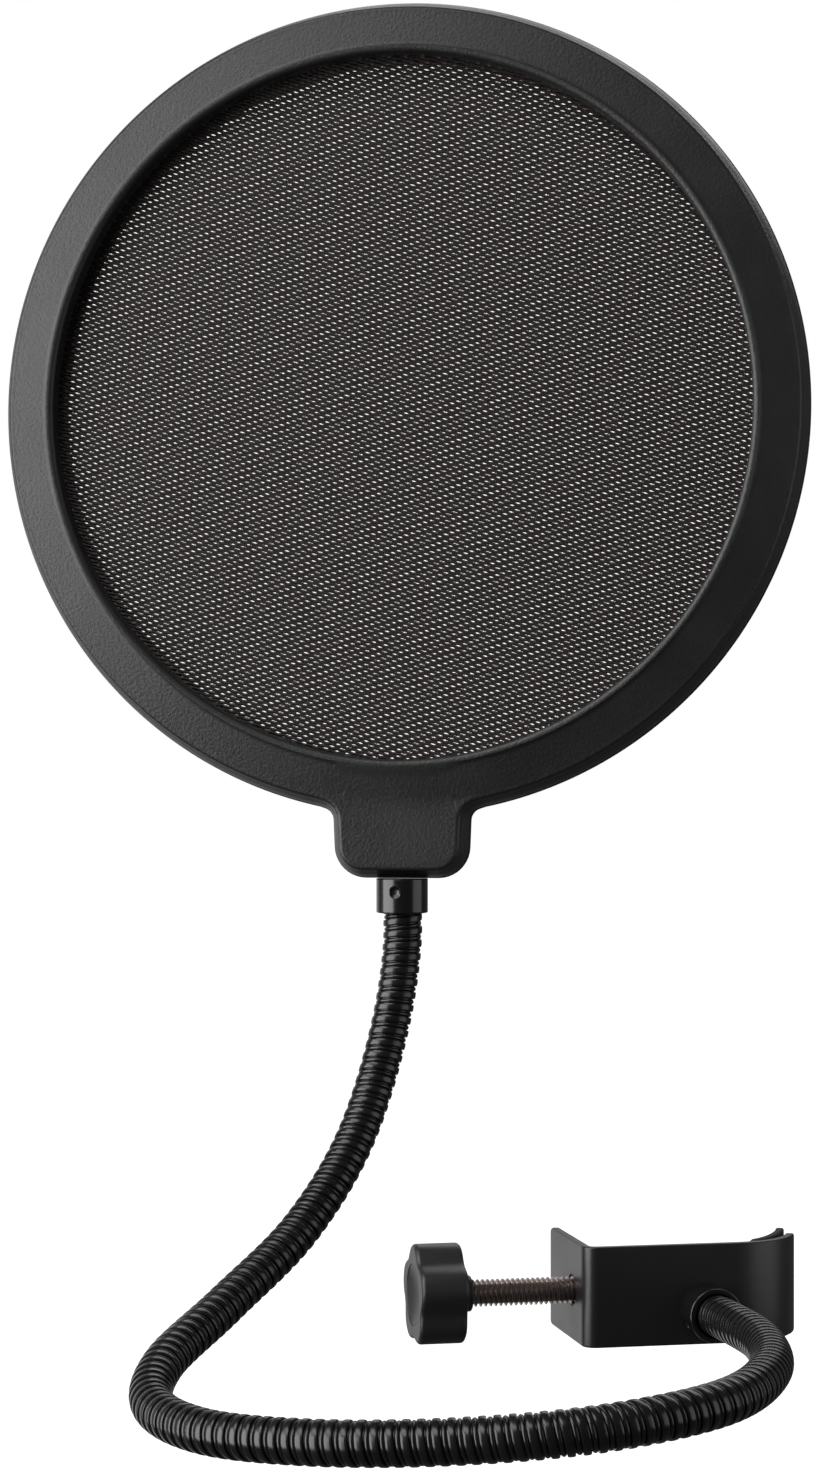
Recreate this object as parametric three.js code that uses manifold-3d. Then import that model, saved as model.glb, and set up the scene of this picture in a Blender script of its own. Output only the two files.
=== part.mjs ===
// Clip-on microphone pop filter: a round double-mesh screen on a bendable gooseneck,
// held by a bent-steel screw clamp.
//
// Millimetres, +Z up. The origin is on the flat inner face of the clamp's web, at the middle of
// its straight part. +X runs along the web towards the hooked jaw, and -Y is the clamp's front.

import * as THREE from 'three';
import { mergeVertices } from 'three/addons/utils/BufferGeometryUtils.js';
import Module from 'manifold-3d';

const wasm = await Module();
wasm.setup();

// ---------------------------------------------------------------- driving dimensions
const GAP = 0.3; // left between pieces that touch

// screen
const RING_OUTER_R = 77.5;
const OPENING_R = 67.2;
const RIM_HALF = 4.8; // half thickness at the ring's outer edge and at the tab
const LIP_HALF = 6.7; // half thickness at the lip round the opening
const EDGE_FILLET = 1.4;
const LIP_FILLET = 0.7;
const WALL = 2;
const MESH_PLANE = 2; // distance of each mesh from the middle plane
const MESH_THICKNESS = 0.3;
const MESH_R = 73;
const SPACER_INSET = 0.4; // from the opening's edge to the ring that keeps the meshes apart
const HEAD_CENTRE = [-41.1, 37, 165];
const HEAD_YAW = -20; // degrees, the screen's front against the clamp's front

// tab under the screen
const TAB_HALF_WIDTH = 13.5;
const TAB_REACH = 90; // from the screen's centre to the tab's lower edge
const TAB_CORNER_R = 6;
const TAB_FLARE = 3.5; // how far the tab widens where it meets the ring
const TAB_FLARE_HIGH = 3;
const TAB_SCREW_X = 8.6;
const TAB_SCREW_Z = -83.2;
const TAB_SCREW_R = 1.2;
const TAB_SCREW_HEAD_R = 2.3;
const TAB_SCREW_HEAD_DEEP = 1.6;
const TAB_SKIN = 1; // left in front of each blind screw hole
const SLOT_HALF_LENGTH = 1.4;
const SLOT_HALF_WIDTH = 0.25;
const SLOT_DEEP = 0.7;

// ferrules
const FERRULE_R = 4.8;
const FERRULE_SHOWN = 6.8; // length of each ferrule's cup
const SPIGOT_R = 3.2; // the upper ferrule's stem, held between the tab's halves
const SPIGOT_LENGTH = 11;
const CUP_DEEP = 4.6;
const DIMPLE_R = 1.05;
const DIMPLE_DEEP = 0.45;
const DIMPLE_FROM_RIM = 2.2;
const BASE_DIMPLE_TURN = 27; // degrees below level, on the base ferrule's left side

// gooseneck
const NECK_R = 3.75;
const NECK_JOINTS = 8;
const FIRST_JOINT_AT = 26; // along the neck, from its lower end
const JOINT_SPACING = 39;
const BALL_STEP = 0.15; // how far each ball end is stepped in from the neck
const NECK_STEP = 4.5; // between the rings of facets along a segment

// clamp bracket: flange, web and hooked jaw, bent from one steel strip
const STRIP_HEIGHT = 18;
const STRIP_THICK = 1.6;
const FLANGE_X = -15; // the flange's outer face
const FLANGE_END_Y = 24.4;
const CORNER_OUTER_R = 2.6;
const HOOK_START_X = 13.9;
const HOOK_OUTER_R = 15.1;
const HOOK_SWEEP = 76.6; // degrees
const HOOK_CORNER_R = 2.5;
const JAW_PAD_THICK = 1.2;
const JAW_PAD_START = 10; // degrees past the hook's start
const SOCKET_X = 8;
const SOCKET_Z = -2.9;
const SOCKET_SCREW_R = 2;
const SOCKET_SCREW_HEAD_R = 3.7;
const SOCKET_SCREW_HEAD_HIGH = 1.5;
const CROSS_HALF_LENGTH = 2.2;
const CROSS_HALF_WIDTH = 0.35;
const CROSS_DEEP = 0.8;

// clamping screw
const SCREW_Y = 7.9;
const SCREW_R = 2.5;
const SCREW_END_X = -4.5;
const COLLAR_R = 4.2;
const COLLAR_LENGTH = 2.2;
const BALL_X = -0.6;
const BALL_R = 2.2;
const BALL_NECK_R = 1.3;
const CUP_R = 5.5;
const CUP_BACK_X = -2.6;
const CUP_FRONT_X = 2.2;
const PAD_RUBBER_R = 5.2;
const PAD_FACE_X = 4;

// knob
const KNOB_FRONT_X = -44.3;
const KNOB_BACK_X = -35.9;
const HUB_BACK_X = -34.2;
const KNOB_R = 9.35;
const KNOB_LOBES = 5;
const KNOB_LOBE_DEEP = 1.5;
const KNOB_VALLEY_SHARPNESS = 1.5;
const KNOB_EDGE = 0.6;
const HUB_R = 3.3;
const DISH_R = 5.5;
const DISH_DEEP = 1.2;
const KNOB_BORE_DEEP = 7;

// facets round a full turn
const RING_SIDES = 48;
const ROUND_SIDES = 20;
const NECK_SIDES = 12;
const BALL_SIDES = 16;
const LOBE_STEPS = 12;

const CLEAR = 1; // how far a cutting shape runs past the face it opens
const QUARTER = Math.PI / 2;
const radians = THREE.MathUtils.degToRad;

// ---------------------------------------------------------------- materials
const finishes = {
  framePlastic: { color: 0x2b2b2d, roughness: 0.55, metalness: 0 },
  mesh: { color: 0x2a2724, roughness: 0.6, metalness: 0 },
  innerPlastic: { color: 0x1a1a1a, roughness: 0.7, metalness: 0 },
  glossMetal: { color: 0x0e0e10, roughness: 0.3, metalness: 0.6 },
  satinMetal: { color: 0x17171a, roughness: 0.5, metalness: 0.4 },
  screwSteel: { color: 0x4a3b33, roughness: 0.35, metalness: 0.9 },
  zincSteel: { color: 0x8a8a8c, roughness: 0.4, metalness: 0.9 },
  knobPlastic: { color: 0x202022, roughness: 0.5, metalness: 0 },
  rubber: { color: 0x101010, roughness: 0.9, metalness: 0 },
};

// ---------------------------------------------------------------- solids
function solid(geometry) {
  const bare = geometry.clone();
  bare.deleteAttribute('normal');
  bare.deleteAttribute('uv');
  const merged = mergeVertices(bare);
  const corners = merged.index.array;
  const kept = [];
  for (let i = 0; i < corners.length; i += 3) {
    const [a, b, c] = corners.slice(i, i + 3);
    if (a !== b && b !== c && c !== a) {
      kept.push(a, b, c);
    }
  }
  return new wasm.Manifold(
    new wasm.Mesh({
      numProp: 3,
      vertProperties: new Float32Array(merged.attributes.position.array),
      triVerts: new Uint32Array(kept),
    }),
  );
}

function geometryOf(manifold) {
  const mesh = manifold.getMesh();
  const geometry = new THREE.BufferGeometry();
  geometry.setAttribute('position', new THREE.BufferAttribute(mesh.vertProperties, 3));
  geometry.setIndex(new THREE.BufferAttribute(mesh.triVerts, 1));
  return geometry;
}

function join(...geometries) {
  return geometryOf(geometries.map(solid).reduce((all, next) => all.add(next)));
}

function cut(base, ...tools) {
  return geometryOf(tools.map(solid).reduce((left, tool) => left.subtract(tool), solid(base)));
}

// The mirror image of an indexed geometry; scales holds -1 for the axis to flip and 1 for the others.
function mirrored(geometry, scales) {
  const image = geometry.clone().scale(...scales);
  const corners = image.index.array;
  for (let i = 0; i < corners.length; i += 3) {
    [corners[i + 1], corners[i + 2]] = [corners[i + 2], corners[i + 1]];
  }
  return image;
}

function piece(name, geometry, finish) {
  geometry.computeVertexNormals();
  const mesh = new THREE.Mesh(geometry, new THREE.MeshStandardMaterial(finishes[finish]));
  mesh.name = name;
  return mesh;
}

// A cylinder along X, Y or Z between two places on that axis; across holds the other two, in order.
function rod(axis, from, to, radius, across = [0, 0], endRadius = radius) {
  const geometry = new THREE.CylinderGeometry(endRadius, radius, Math.abs(to - from), ROUND_SIDES);
  const middle = (from + to) / 2;
  if (axis === 'x') {
    return geometry.rotateZ(-QUARTER).translate(middle, across[0], across[1]);
  }
  if (axis === 'y') {
    return geometry.translate(across[0], middle, across[1]);
  }
  return geometry.rotateX(QUARTER).translate(across[0], across[1], middle);
}

function ball(radius, x, y, z, sides = ROUND_SIDES) {
  return new THREE.SphereGeometry(radius, sides, Math.round(sides * 0.6)).translate(x, y, z);
}

function block(low, high) {
  const size = high.map((value, i) => value - low[i]);
  const middle = high.map((value, i) => (value + low[i]) / 2);
  return new THREE.BoxGeometry(...size).translate(...middle);
}

// A ring about the Y axis. The profile's points are [radius, height towards the front, -Y].
function turned(profile) {
  const points = profile.map(([r, front]) => new THREE.Vector2(r, front));
  return new THREE.LatheGeometry([...points, points[0]], RING_SIDES).rotateX(Math.PI);
}

// Points on a round corner, from one angle to another, in degrees.
function corner(centre, radius, from, to, steps = 3) {
  return Array.from({ length: steps + 1 }, (_, i) => {
    const angle = radians(from + ((to - from) * i) / steps);
    return [centre[0] + radius * Math.cos(angle), centre[1] + radius * Math.sin(angle)];
  });
}

// ---------------------------------------------------------------- screen
// One half of the ring, front side: a channel open at the back, and half of the tab.
function frameHalf() {
  const faceTurn = 80; // degrees, where the fillets meet the ring's sloping face
  const middle = GAP / 2;
  const ring = turned([
    [OPENING_R, middle],
    [RING_OUTER_R, middle],
    ...corner([RING_OUTER_R - EDGE_FILLET, RIM_HALF - EDGE_FILLET], EDGE_FILLET, 0, faceTurn),
    ...corner([OPENING_R + LIP_FILLET, LIP_HALF - LIP_FILLET], LIP_FILLET, faceTurn, 180),
  ]);
  const meshSeat = MESH_PLANE + MESH_THICKNESS / 2 + GAP;
  const channel = turned([
    [OPENING_R - WALL, -CLEAR],
    [RING_OUTER_R - WALL, -CLEAR],
    [RING_OUTER_R - WALL, RIM_HALF - WALL],
    [OPENING_R + WALL, LIP_HALF - WALL - LIP_FILLET],
    [OPENING_R + WALL, meshSeat],
    [OPENING_R - WALL, meshSeat],
  ]);
  const span = TAB_REACH + RING_OUTER_R;
  const backOfMiddle = block([-span, -middle, -span], [span, span, span]);
  const spigotTop = -TAB_REACH + SPIGOT_LENGTH + GAP;
  const spigotChannel = rod('z', -TAB_REACH - CLEAR, spigotTop, SPIGOT_R + GAP);
  return cut(join(ring, tabSlab()), channel, backOfMiddle, spigotChannel);
}

// The tab as a slab through the middle plane, with a rounded front edge and flared into the ring.
function tabSlab() {
  const side = TAB_HALF_WIDTH;
  const cornerX = side - TAB_CORNER_R;
  const cornerZ = -TAB_REACH + TAB_CORNER_R;
  const rootZ = -RING_OUTER_R + 2 * WALL;
  const flareX = side + TAB_FLARE;
  const flareZ = -Math.sqrt((RING_OUTER_R - GAP) ** 2 - flareX ** 2);
  const flareEndZ = -RING_OUTER_R - TAB_FLARE_HIGH;
  const bendZ = -RING_OUTER_R + TAB_FLARE_HIGH / 6;
  const shape = new THREE.Shape();
  shape.moveTo(-flareX - TAB_FLARE, rootZ);
  shape.lineTo(-flareX, flareZ);
  shape.quadraticCurveTo(-side, bendZ, -side, flareEndZ);
  shape.absarc(-cornerX, cornerZ, TAB_CORNER_R, Math.PI, 1.5 * Math.PI);
  shape.absarc(cornerX, cornerZ, TAB_CORNER_R, 1.5 * Math.PI, 2 * Math.PI);
  shape.lineTo(side, flareEndZ);
  shape.quadraticCurveTo(side, bendZ, flareX, flareZ);
  shape.lineTo(flareX + TAB_FLARE, rootZ);
  const slab = new THREE.ExtrudeGeometry(shape, {
    depth: RIM_HALF,
    bevelThickness: EDGE_FILLET,
    bevelSize: EDGE_FILLET,
    bevelOffset: -EDGE_FILLET,
    bevelSegments: 3,
    curveSegments: 5,
  });
  return slab.rotateX(QUARTER).translate(0, EDGE_FILLET, 0);
}

function screwHoles(radius, from, to) {
  return [-TAB_SCREW_X, TAB_SCREW_X].map((x) => rod('y', from, to, radius, [x, TAB_SCREW_Z]));
}

function frontFrame() {
  const pilotHoles = screwHoles(TAB_SCREW_R + GAP, -RIM_HALF + TAB_SKIN, CLEAR);
  return piece('front_frame', cut(frameHalf(), ...pilotHoles), 'framePlastic');
}

function rearFrame() {
  const half = mirrored(frameHalf(), [1, -1, 1]);
  const shanks = screwHoles(TAB_SCREW_R + GAP, -CLEAR, RIM_HALF + CLEAR);
  const headSeat = RIM_HALF - TAB_SCREW_HEAD_DEEP - GAP;
  const heads = screwHoles(TAB_SCREW_HEAD_R + GAP, headSeat, RIM_HALF + CLEAR);
  return piece('rear_frame', cut(half, ...shanks, ...heads), 'framePlastic');
}

function tabScrew(name, x) {
  const at = [x, TAB_SCREW_Z];
  const top = RIM_HALF - GAP;
  const headUnder = RIM_HALF - TAB_SCREW_HEAD_DEEP;
  const head = rod('y', headUnder, top, TAB_SCREW_HEAD_R, at);
  const shank = rod('y', -RIM_HALF + TAB_SKIN + GAP, (headUnder + top) / 2, TAB_SCREW_R, at);
  const slot = block(
    [x - SLOT_HALF_LENGTH, top - SLOT_DEEP, TAB_SCREW_Z - SLOT_HALF_WIDTH],
    [x + SLOT_HALF_LENGTH, top + CLEAR, TAB_SCREW_Z + SLOT_HALF_WIDTH],
  );
  return piece(name, cut(join(head, shank), slot), 'zincSteel');
}

function meshDisc(name, side) {
  const back = side * MESH_PLANE - MESH_THICKNESS / 2;
  const front = side * MESH_PLANE + MESH_THICKNESS / 2;
  const outline = [[0, back], [MESH_R, back], [MESH_R, front], [0, front]];
  const points = outline.map((p) => new THREE.Vector2(...p));
  return piece(name, new THREE.LatheGeometry(points, RING_SIDES).rotateX(Math.PI), 'mesh');
}

function spacerRing() {
  const half = MESH_PLANE - MESH_THICKNESS / 2 - GAP;
  const inner = OPENING_R + SPACER_INSET;
  const outer = RING_OUTER_R - WALL - CLEAR;
  const outline = [[inner, -half], [outer, -half], [outer, half], [inner, half]];
  return piece('mesh_spacer_ring', turned(outline), 'innerPlastic');
}

// ---------------------------------------------------------------- ferrules
function upperFerrule() {
  const top = -TAB_REACH - GAP;
  const bottom = top - FERRULE_SHOWN;
  const cup = rod('z', bottom, top, FERRULE_R);
  const spigot = rod('z', top - CLEAR, top + SPIGOT_LENGTH, SPIGOT_R);
  const bore = rod('z', bottom - CLEAR, bottom + CUP_DEEP, NECK_R + GAP);
  const dimpleFrom = -FERRULE_R - DIMPLE_DEEP / 2;
  const dimpleTo = -FERRULE_R + DIMPLE_DEEP;
  const dimple = rod('y', dimpleFrom, dimpleTo, DIMPLE_R, [0, top - DIMPLE_FROM_RIM], DIMPLE_R / 2);
  return piece('upper_ferrule', cut(join(cup, spigot), bore, dimple), 'glossMetal');
}

function baseFerrule() {
  const back = -STRIP_THICK - GAP;
  const front = back - FERRULE_SHOWN;
  const at = [SOCKET_X, SOCKET_Z];
  const body = rod('y', front, back, FERRULE_R, at);
  const bore = rod('y', front - CLEAR, front + CUP_DEEP, NECK_R + GAP, at);
  const screwHole = rod('y', front, back + CLEAR, SOCKET_SCREW_R + GAP, at);
  const dimpleFrom = -FERRULE_R - DIMPLE_DEEP / 2;
  const dimpleTo = -FERRULE_R + DIMPLE_DEEP;
  const dimplePlace = [back - DIMPLE_FROM_RIM, 0];
  const dimple = rod('x', dimpleFrom, dimpleTo, DIMPLE_R, dimplePlace, DIMPLE_R / 2);
  dimple.rotateY(-radians(BASE_DIMPLE_TURN)).translate(SOCKET_X, 0, SOCKET_Z);
  return piece('base_ferrule', cut(body, bore, screwHole, dimple), 'glossMetal');
}

function baseScrew() {
  const at = [SOCKET_X, SOCKET_Z];
  const high = GAP + SOCKET_SCREW_HEAD_HIGH;
  const head = rod('y', GAP, high, SOCKET_SCREW_HEAD_R, at);
  const shankEnd = -STRIP_THICK - FERRULE_SHOWN + CUP_DEEP + GAP;
  const shank = rod('y', shankEnd, high - CROSS_DEEP, SOCKET_SCREW_R, at);
  const cross = [[CROSS_HALF_LENGTH, CROSS_HALF_WIDTH], [CROSS_HALF_WIDTH, CROSS_HALF_LENGTH]];
  const slots = cross.map(([wide, tall]) => block(
    [SOCKET_X - wide, high - CROSS_DEEP, SOCKET_Z - tall],
    [SOCKET_X + wide, high + CLEAR, SOCKET_Z + tall],
  ));
  return piece('base_screw', cut(join(head, shank), ...slots), 'zincSteel');
}

// ---------------------------------------------------------------- gooseneck
// The neck's centre line, from inside the base ferrule to inside the upper ferrule.
const neckRoute = [
  [8, -5, -2.9],
  [8.7, -16, -2.9],
  [8.4, -34, -3],
  [2.5, -56, -3.4],
  [-12, -76.5, -4],
  [-34, -84.8, -5.4],
  [-57, -79, -7.7],
  [-78, -67, -9.4],
  [-92.5, -50, -10.4],
  [-97.6, -31, -9.6],
  [-94, -16.5, -6.2],
  [-80.5, 1.6, 0.6],
  [-64, 17.5, 11.5],
  [-52, 28.4, 26],
  [-44, 35.2, 46],
  [-41.1, 37, 62],
  [-41.1, 37, 72.2],
];
const neckLine = new THREE.CatmullRomCurve3(neckRoute.map((p) => new THREE.Vector3(...p)));
neckLine.arcLengthDivisions = 2000;

class NeckStretch extends THREE.Curve {
  constructor(from, to) {
    super();
    this.from = from;
    this.to = to;
  }

  getPoint(t) {
    return neckLine.getPointAt(THREE.MathUtils.lerp(this.from, this.to, t));
  }
}

// Where each stretch of the neck starts and ends, as shares of its length.
function neckMarks() {
  const length = neckLine.getLength();
  const jointAt = (_, i) => (FIRST_JOINT_AT + i * JOINT_SPACING) / length;
  return [0, ...Array.from({ length: NECK_JOINTS }, jointAt), 1];
}

// A stretch of neck: a ball at its far end turns in the cup at the start of the next one.
function neckSegment(index, from, to) {
  const section = new THREE.Shape().absarc(0, 0, NECK_R, 0, 2 * Math.PI);
  const steps = Math.ceil(((to - from) * neckLine.getLength()) / NECK_STEP);
  let body = new THREE.ExtrudeGeometry(section, {
    extrudePath: new NeckStretch(from, to),
    steps,
    curveSegments: NECK_SIDES / 2, // of each half turn
  });
  if (to < 1) {
    const end = neckLine.getPointAt(to);
    body = join(body, ball(NECK_R - BALL_STEP, end.x, end.y, end.z, NECK_SIDES));
  }
  if (from > 0) {
    const start = neckLine.getPointAt(from);
    body = cut(body, ball(NECK_R + GAP, start.x, start.y, start.z, BALL_SIDES));
  }
  return piece(`neck_segment_${index}`, body, 'glossMetal');
}

function gooseneck() {
  const marks = neckMarks();
  return marks.slice(1).map((to, i) => neckSegment(i + 1, marks[i], to));
}

// ---------------------------------------------------------------- clamp
const hookCentreY = HOOK_OUTER_R - STRIP_THICK;
const hookEnd = radians(HOOK_SWEEP) - QUARTER;

// Stands a flat outline up as a piece of strip, centred on the level of the origin.
function strip(shape, curveSegments) {
  const flat = new THREE.ExtrudeGeometry(shape, { depth: STRIP_HEIGHT, bevelEnabled: false, curveSegments });
  return flat.translate(0, 0, -STRIP_HEIGHT / 2);
}

function stripBend() {
  const inner = FLANGE_X + STRIP_THICK;
  const innerR = CORNER_OUTER_R - STRIP_THICK;
  const shape = new THREE.Shape();
  shape.moveTo(FLANGE_X, FLANGE_END_Y);
  shape.absarc(inner + innerR, innerR, CORNER_OUTER_R, Math.PI, 1.5 * Math.PI);
  shape.absarc(HOOK_START_X, hookCentreY, HOOK_OUTER_R, -QUARTER, hookEnd);
  shape.absarc(HOOK_START_X, hookCentreY, hookCentreY, hookEnd, -QUARTER, true);
  shape.absarc(inner + innerR, innerR, innerR, 1.5 * Math.PI, Math.PI, true);
  shape.lineTo(inner, FLANGE_END_Y);
  return strip(shape, 10);
}

// What the rounded upper corner at the hook's end leaves out.
function hookCorner() {
  const endY = hookCentreY - hookCentreY * Math.cos(radians(HOOK_SWEEP));
  const y = endY - HOOK_CORNER_R;
  const z = STRIP_HEIGHT / 2 - HOOK_CORNER_R;
  const nearX = HOOK_START_X + HOOK_OUTER_R / 3;
  const farX = HOOK_START_X + HOOK_OUTER_R + CLEAR;
  const waste = block([nearX, y, z], [farX, endY + CLEAR, STRIP_HEIGHT / 2 + CLEAR]);
  return cut(waste, rod('x', nearX - CLEAR, farX + CLEAR, HOOK_CORNER_R, [y, z]));
}

function clampBracket() {
  const inner = FLANGE_X + STRIP_THICK;
  const collarEnd = inner + COLLAR_LENGTH;
  const collar = rod('x', inner - STRIP_THICK / 2, collarEnd, COLLAR_R, [SCREW_Y, 0]);
  const screwHole = rod('x', FLANGE_X - CLEAR, collarEnd + CLEAR, SCREW_R + GAP, [SCREW_Y, 0]);
  const socketHole = rod('y', -STRIP_THICK - CLEAR, CLEAR, SOCKET_SCREW_R + GAP, [SOCKET_X, SOCKET_Z]);
  const upper = hookCorner();
  const lower = mirrored(upper, [1, 1, -1]);
  return piece(
    'clamp_bracket',
    cut(join(stripBend(), collar), screwHole, socketHole, upper, lower),
    'satinMetal',
  );
}

function jawPad() {
  const outerR = hookCentreY - GAP;
  const from = radians(JAW_PAD_START) - QUARTER;
  const shape = new THREE.Shape();
  shape.absarc(HOOK_START_X, hookCentreY, outerR, from, hookEnd);
  shape.absarc(HOOK_START_X, hookCentreY, outerR - JAW_PAD_THICK, hookEnd, from, true);
  return piece('jaw_pad', strip(shape, 8), 'rubber');
}

// ---------------------------------------------------------------- clamping screw and knob
function clampScrew() {
  const start = HUB_BACK_X - KNOB_BORE_DEEP + GAP;
  return piece('clamp_screw', rod('x', start, SCREW_END_X, SCREW_R, [SCREW_Y, 0]), 'screwSteel');
}

function screwBallTip() {
  const neck = rod('x', SCREW_END_X + GAP, BALL_X, BALL_NECK_R, [SCREW_Y, 0]);
  const tip = ball(BALL_R, BALL_X, SCREW_Y, 0, BALL_SIDES);
  return piece('screw_ball_tip', join(neck, tip), 'screwSteel');
}

function pressurePadCup() {
  const body = rod('x', CUP_BACK_X, CUP_FRONT_X, CUP_R, [SCREW_Y, 0]);
  const socket = ball(BALL_R + GAP, BALL_X, SCREW_Y, 0, BALL_SIDES);
  const mouth = rod('x', CUP_BACK_X - CLEAR, BALL_X, BALL_NECK_R + 2 * GAP, [SCREW_Y, 0]);
  return piece('pressure_pad_cup', cut(body, socket, mouth), 'innerPlastic');
}

function pressurePadRubber() {
  const disc = rod('x', CUP_FRONT_X + GAP, PAD_FACE_X, PAD_RUBBER_R, [SCREW_Y, 0]);
  return piece('pressure_pad_rubber', disc, 'rubber');
}

// The knob's outline: lobes with rounded valleys between them, the first lobe along the outline's X.
function knobOutline() {
  const outline = new THREE.Shape();
  const count = KNOB_LOBES * LOBE_STEPS;
  for (let i = 0; i < count; i += 1) {
    const angle = (2 * Math.PI * i) / count;
    const valley = Math.sin((KNOB_LOBES * angle) / 2) ** 2;
    const r = KNOB_R - KNOB_LOBE_DEEP * valley ** KNOB_VALLEY_SHARPNESS;
    const point = [r * Math.cos(angle), r * Math.sin(angle)];
    if (i === 0) {
      outline.moveTo(...point);
    } else {
      outline.lineTo(...point);
    }
  }
  return outline;
}

function knob() {
  const body = new THREE.ExtrudeGeometry(knobOutline(), {
    depth: KNOB_BACK_X - KNOB_FRONT_X - 2 * KNOB_EDGE,
    bevelThickness: KNOB_EDGE,
    bevelSize: KNOB_EDGE,
    bevelOffset: -KNOB_EDGE,
    bevelSegments: 1,
  });
  body.rotateZ(Math.PI).rotateY(QUARTER).translate(KNOB_FRONT_X + KNOB_EDGE, SCREW_Y, 0);
  const hub = rod('x', KNOB_BACK_X - CLEAR, HUB_BACK_X, HUB_R, [SCREW_Y, 0]);
  const dishBallR = (DISH_R ** 2 + DISH_DEEP ** 2) / (2 * DISH_DEEP);
  const dish = ball(dishBallR, KNOB_FRONT_X + DISH_DEEP - dishBallR, SCREW_Y, 0, RING_SIDES);
  const bore = rod('x', HUB_BACK_X - KNOB_BORE_DEEP, HUB_BACK_X + CLEAR, SCREW_R + GAP, [SCREW_Y, 0]);
  return piece('knob', cut(join(body, hub), dish, bore), 'knobPlastic');
}

// ---------------------------------------------------------------- the assembly
function head() {
  const group = new THREE.Group();
  group.add(
    frontFrame(),
    rearFrame(),
    meshDisc('front_mesh', 1),
    meshDisc('rear_mesh', -1),
    spacerRing(),
    tabScrew('tab_screw_left', -TAB_SCREW_X),
    tabScrew('tab_screw_right', TAB_SCREW_X),
    upperFerrule(),
  );
  group.position.set(...HEAD_CENTRE);
  group.rotation.z = radians(HEAD_YAW);
  return group;
}

function clamp() {
  const group = new THREE.Group();
  group.add(clampBracket(), jawPad(), baseFerrule(), baseScrew());
  return group;
}

function screw() {
  const group = new THREE.Group();
  group.add(clampScrew(), knob(), screwBallTip(), pressurePadCup(), pressurePadRubber());
  return group;
}

const popFilter = new THREE.Group();
popFilter.add(clamp(), screw(), ...gooseneck(), head());

export default popFilter;
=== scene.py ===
import math

import bmesh
import bpy
import numpy as np
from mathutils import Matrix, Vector


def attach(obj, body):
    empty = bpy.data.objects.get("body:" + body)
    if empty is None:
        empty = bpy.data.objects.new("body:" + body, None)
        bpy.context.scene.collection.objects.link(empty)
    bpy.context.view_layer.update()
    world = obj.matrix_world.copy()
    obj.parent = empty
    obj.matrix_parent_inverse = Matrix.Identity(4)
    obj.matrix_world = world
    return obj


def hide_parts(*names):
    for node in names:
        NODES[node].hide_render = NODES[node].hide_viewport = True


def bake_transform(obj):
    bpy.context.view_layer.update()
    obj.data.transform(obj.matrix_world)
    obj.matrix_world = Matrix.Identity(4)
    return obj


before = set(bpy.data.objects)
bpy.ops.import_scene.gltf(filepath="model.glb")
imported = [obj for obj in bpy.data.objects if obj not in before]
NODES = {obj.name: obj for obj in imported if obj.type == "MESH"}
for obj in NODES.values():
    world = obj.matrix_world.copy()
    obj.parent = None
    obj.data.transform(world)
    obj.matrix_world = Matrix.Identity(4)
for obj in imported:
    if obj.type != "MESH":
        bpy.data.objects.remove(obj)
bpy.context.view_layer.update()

# Sizes are in millimetres, in the CAD model's frame; make() turns them into metres.
MM = 0.001
GAP = 0.3
DEGREE = math.pi / 180
SHARP_ANGLE = 38 * DEGREE
WELD = 0.0005
CUT_PAST = 1.0

# the range that most of a noise texture's values lie in
NOISE_LOW = 0.3
NOISE_HIGH = 0.7
# clouds on a moulded or painted surface: how far across, and how much their gloss differs
PATCH_MM = 14.0
PATCH_GLOSS = 0.08
# marks on bare metal: how many lie end to end in a metre, and how many times longer than wide they are
MARKS_A_METRE = 900.0
MARK_LENGTHS = 8.0
WARM_WHITE = (1, 0.9, 0.88, 1)

# screen, in its own frame: x across, y from front to back, z up
HEAD_CENTRE = (-41.1, 37.0, 165.0)
HEAD_YAW = -20 * DEGREE
RING_OUTER_R = 78.0
OPENING_R = 67.2
RIM_HALF = 4.8
LIP_HALF = 6.7
EDGE_FILLET = 0.9
FRONT_INSET = 0.25
SIDE_DRAFT = 1.3
SIDE_CURVE = 1.6
RING_STEPS = 420
SEAM_HALF = 0.08
SEAM_BEVEL = 0.22
LIP_FILLET = 1.1
LIP_END = 0.12
WALL = 2.0
TAB_HALF_WIDTH = 13.5
TAB_TAPER = 0.5
TAB_REACH = 90.0
TAB_CORNER_R = 6.2
TAB_FLARE = 2.6
TAB_SHOULDER = 0.9
TAB_STEP = 0.8
TAB_SCREW_X = 8.6
TAB_SCREW_Z = -83.2
TAB_SCREW_HEAD_R = 2.3
TAB_SCREW_HEAD_DEEP = 1.6
SLOT_HALF = 0.28
SLOT_DEEP = 0.7

# nets; a net's drift is how far it is out of true: a sag and the run in which its wave turns one radian,
# then a sway and its run
MESH_PLANE = 2.0
MESH_R = 70.0
NET_SPARE = 1.25
WARP_PITCH = 1.077
WEFT_PITCH = 0.65
WARP_WIDTH = 0.10
WARP_STEPS = 60
WEFT_SLANT = 0.13
WEAVE_HALF = 0.05
FRONT_NET = {"side": 1, "turn": -7.6 * DEGREE, "drift": (0.5, 31.0, 0.4, 37.0),
             "width": 0.62, "thick": 0.17, "zigzag": 0.105}
REAR_NET = {"side": -1, "turn": 21 * DEGREE, "drift": (0.9, 27.0, 0.7, 33.0),
            "width": 0.16, "thick": 0.23, "zigzag": 0.0525}

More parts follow.
